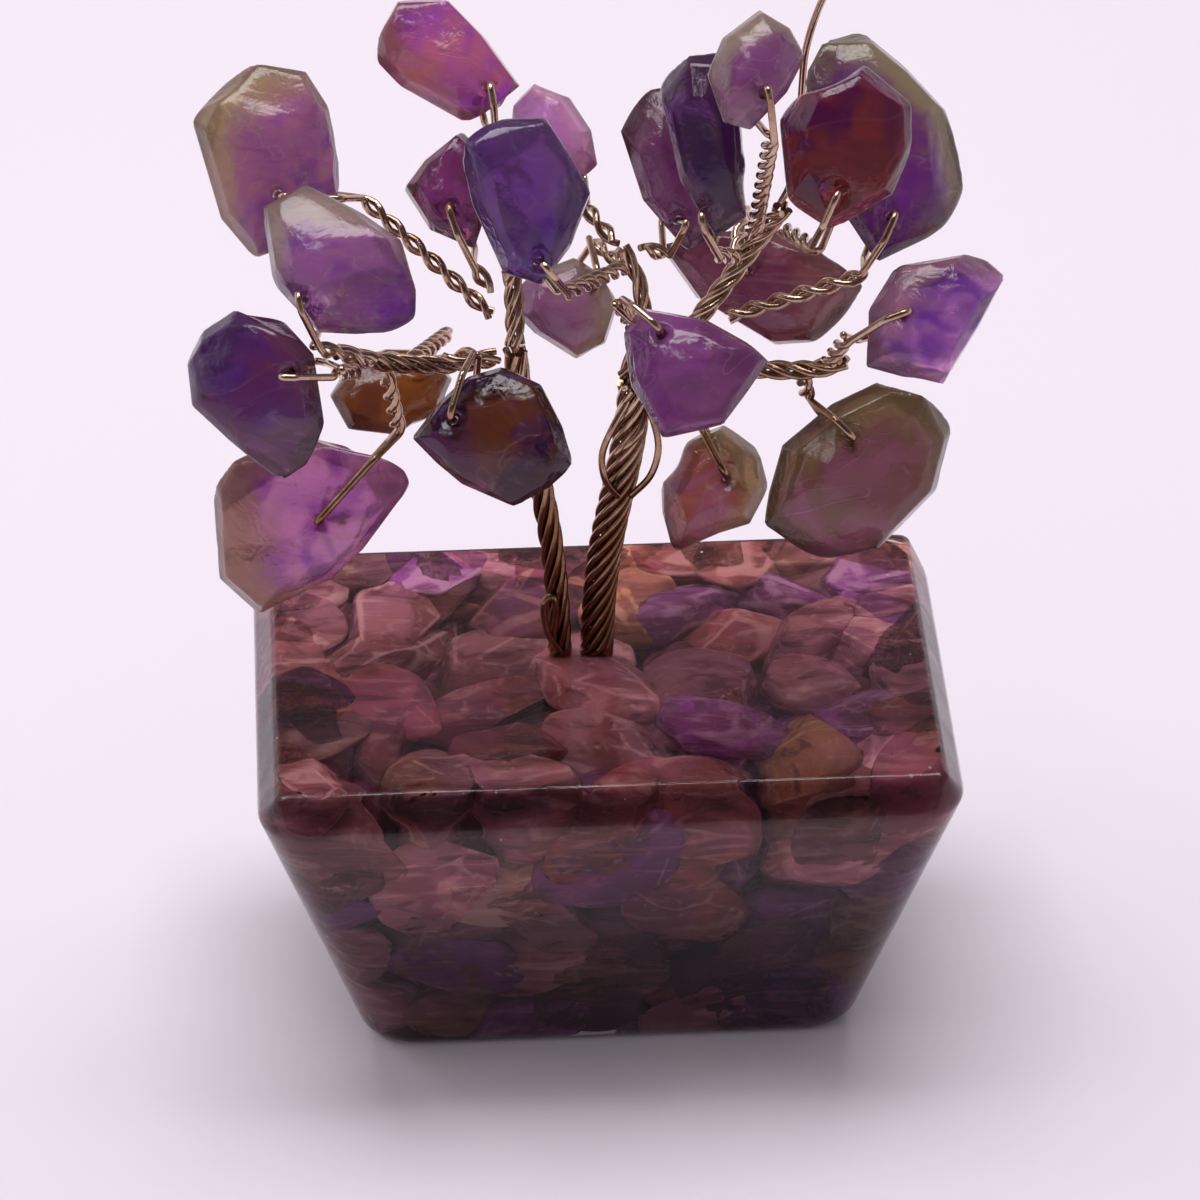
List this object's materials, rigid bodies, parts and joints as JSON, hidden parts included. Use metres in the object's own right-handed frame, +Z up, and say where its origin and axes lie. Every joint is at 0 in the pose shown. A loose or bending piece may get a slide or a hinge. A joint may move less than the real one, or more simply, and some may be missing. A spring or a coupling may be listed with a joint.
{
  "type": "gemstone tree ornament",
  "caption": "Small table ornament: a bevelled clear block filled with stone chips, twisted wire trunks and branches, and drilled amethyst chips that swivel on wire loops.",
  "frame": {"origin": "middle of the block's flat underside", "axes": "+Z up; -Y towards the front, which the picture shows; +X to its right"},
  "size_m": [0.0501, 0.031, 0.0723],
  "materials": {
    "resin": "clear cast resin, polished, bevels ground",
    "set_stone": "tumbled amethyst and smoky chips",
    "amethyst": "polished tumbled amethyst",
    "wire": "bronze-coloured drawn wire"
  },
  "bodies": {
    "tree": {"centre_branch": "wire", "left_branch": "wire", "left_trunk": "wire", "left_upper_branch": "wire", "resin_block": "resin", "right_branch": "wire", "right_trunk": "wire", "right_upper_branch": "wire", "set_stones_foot": "set_stone", "set_stones_middle": "set_stone", "set_stones_upper": "set_stone", "wire_far_left": "wire", "wire_far_right": "wire", "wire_front_centre": "wire", "wire_front_top": "wire", "wire_inner": "wire", "wire_inner_left": "wire", "wire_left_back": "wire", "wire_left_heart": "wire", "wire_left_shoulder": "wire", "wire_low_inner": "wire", "wire_low_left": "wire", "wire_low_right": "wire", "wire_right_back": "wire", "wire_right_fan": "wire", "wire_right_front": "wire", "wire_right_inner": "wire", "wire_right_mid": "wire", "wire_right_top": "wire", "wire_top": "wire", "wire_top_back": "wire", "wire_upper_left": "wire"},
    "chip_far_left": {"chip_far_left": "amethyst"},
    "chip_far_right": {"chip_far_right": "amethyst"},
    "chip_front_centre": {"chip_front_centre": "amethyst"},
    "chip_front_top": {"chip_front_top": "amethyst"},
    "chip_inner": {"chip_inner": "amethyst"},
    "chip_inner_left": {"chip_inner_left": "amethyst"},
    "chip_left_back": {"chip_left_back": "amethyst"},
    "chip_left_heart": {"chip_left_heart": "amethyst"},
    "chip_left_shoulder": {"chip_left_shoulder": "amethyst"},
    "chip_low_inner": {"chip_low_inner": "amethyst"},
    "chip_low_left": {"chip_low_left": "amethyst"},
    "chip_low_right": {"chip_low_right": "amethyst"},
    "chip_right_back": {"chip_right_back": "amethyst"},
    "chip_right_fan": {"chip_right_fan": "amethyst"},
    "chip_right_front": {"chip_right_front": "amethyst"},
    "chip_right_inner": {"chip_right_inner": "amethyst"},
    "chip_right_mid": {"chip_right_mid": "amethyst"},
    "chip_right_top": {"chip_right_top": "amethyst"},
    "chip_top": {"chip_top": "amethyst"},
    "chip_top_back": {"chip_top_back": "amethyst"},
    "chip_upper_left": {"chip_upper_left": "amethyst"}
  },
  "joints": [
    {"name": "far_left_swivel", "type": "hinge", "parent": "tree", "child": "chip_far_left", "pos_m": [-0.01852, -0.00882, 0.05045], "axis": [-0.352, -0.8713, 0.342], "range_deg": [-15, 15]},
    {"name": "far_right_swivel", "type": "hinge", "parent": "tree", "child": "chip_far_right", "pos_m": [0.01793, -0.0055, 0.05041], "axis": [0.2542, -0.6983, 0.6691], "range_deg": [-15, 15]},
    {"name": "front_centre_swivel", "type": "hinge", "parent": "tree", "child": "chip_front_centre", "pos_m": [0.00375, -0.00662, 0.0501], "axis": [-0.1619, -0.6493, 0.7431], "range_deg": [-15, 15]},
    {"name": "front_top_swivel", "type": "hinge", "parent": "tree", "child": "chip_front_top", "pos_m": [-0.00418, -0.00829, 0.05724], "axis": [0.161, -0.9131, 0.3746], "range_deg": [-15, 15]},
    {"name": "inner_swivel", "type": "hinge", "parent": "tree", "child": "chip_inner", "pos_m": [-0.00051, 0.0049, 0.0477], "axis": [0.1884, -0.8865, 0.4226], "range_deg": [-15, 15]},
    {"name": "inner_left_swivel", "type": "hinge", "parent": "tree", "child": "chip_inner_left", "pos_m": [-0.00843, 0.00386, 0.0538], "axis": [-0.2367, -0.7286, 0.6428], "range_deg": [-15, 15]},
    {"name": "left_back_swivel", "type": "hinge", "parent": "tree", "child": "chip_left_back", "pos_m": [-0.01108, 0.00805, 0.03989], "axis": [0.183, -0.683, 0.7071], "range_deg": [-15, 15]},
    {"name": "left_heart_swivel", "type": "hinge", "parent": "tree", "child": "chip_left_heart", "pos_m": [-0.0089, -0.00547, 0.04424], "axis": [-0.1638, -0.7708, 0.6157], "range_deg": [-15, 15]},
    {"name": "left_shoulder_swivel", "type": "hinge", "parent": "tree", "child": "chip_left_shoulder", "pos_m": [-0.01778, -0.00528, 0.05303], "axis": [-0.1983, -0.7399, 0.6428], "range_deg": [-15, 15]},
    {"name": "low_inner_swivel", "type": "hinge", "parent": "tree", "child": "chip_low_inner", "pos_m": [0.00856, 0.0052, 0.03291], "axis": [-0.1798, -0.7211, 0.6691], "range_deg": [-15, 15]},
    {"name": "low_left_swivel", "type": "hinge", "parent": "tree", "child": "chip_low_left", "pos_m": [-0.01715, 0.00066, 0.0344], "axis": [-0.1977, -0.9303, 0.309], "range_deg": [-15, 15]},
    {"name": "low_right_swivel", "type": "hinge", "parent": "tree", "child": "chip_low_right", "pos_m": [0.01541, 0.00038, 0.03904], "axis": [0.1271, -0.9047, 0.4067], "range_deg": [-15, 15]},
    {"name": "right_back_swivel", "type": "hinge", "parent": "tree", "child": "chip_right_back", "pos_m": [0.01011, 0.00857, 0.04658], "axis": [-0.1977, -0.9303, 0.309], "range_deg": [-15, 15]},
    {"name": "right_fan_swivel", "type": "hinge", "parent": "tree", "child": "chip_right_fan", "pos_m": [0.01774, 0.0003, 0.05421], "axis": [0.1593, -0.7493, 0.6428], "range_deg": [-15, 15]},
    {"name": "right_front_swivel", "type": "hinge", "parent": "tree", "child": "chip_right_front", "pos_m": [0.0067, -0.00171, 0.05652], "axis": [-0.2243, -0.8996, 0.3746], "range_deg": [-15, 15]},
    {"name": "right_inner_swivel", "type": "hinge", "parent": "tree", "child": "chip_right_inner", "pos_m": [0.00503, 0.00457, 0.05236], "axis": [0.2193, -0.8794, 0.4226], "range_deg": [-15, 15]},
    {"name": "right_mid_swivel", "type": "hinge", "parent": "tree", "child": "chip_right_mid", "pos_m": [0.01455, -0.00586, 0.05992], "axis": [-0.1884, -0.8865, 0.4226], "range_deg": [-15, 15]},
    {"name": "right_top_swivel", "type": "hinge", "parent": "tree", "child": "chip_right_top", "pos_m": [0.00929, -0.00869, 0.06776], "axis": [0.1034, -0.7359, 0.6691], "range_deg": [-15, 15]},
    {"name": "top_swivel", "type": "hinge", "parent": "tree", "child": "chip_top", "pos_m": [-0.00666, 0.00051, 0.06383], "axis": [0.0801, -0.7618, 0.6428], "range_deg": [-15, 15]},
    {"name": "top_back_swivel", "type": "hinge", "parent": "tree", "child": "chip_top_back", "pos_m": [-0.00153, 0.00763, 0.05502], "axis": [-0.31, -0.8517, 0.4226], "range_deg": [-15, 15]},
    {"name": "upper_left_swivel", "type": "hinge", "parent": "tree", "child": "chip_upper_left", "pos_m": [-0.01958, 0.00414, 0.05539], "axis": [0.1261, -0.8975, 0.4226], "range_deg": [-15, 15]}
  ]
}
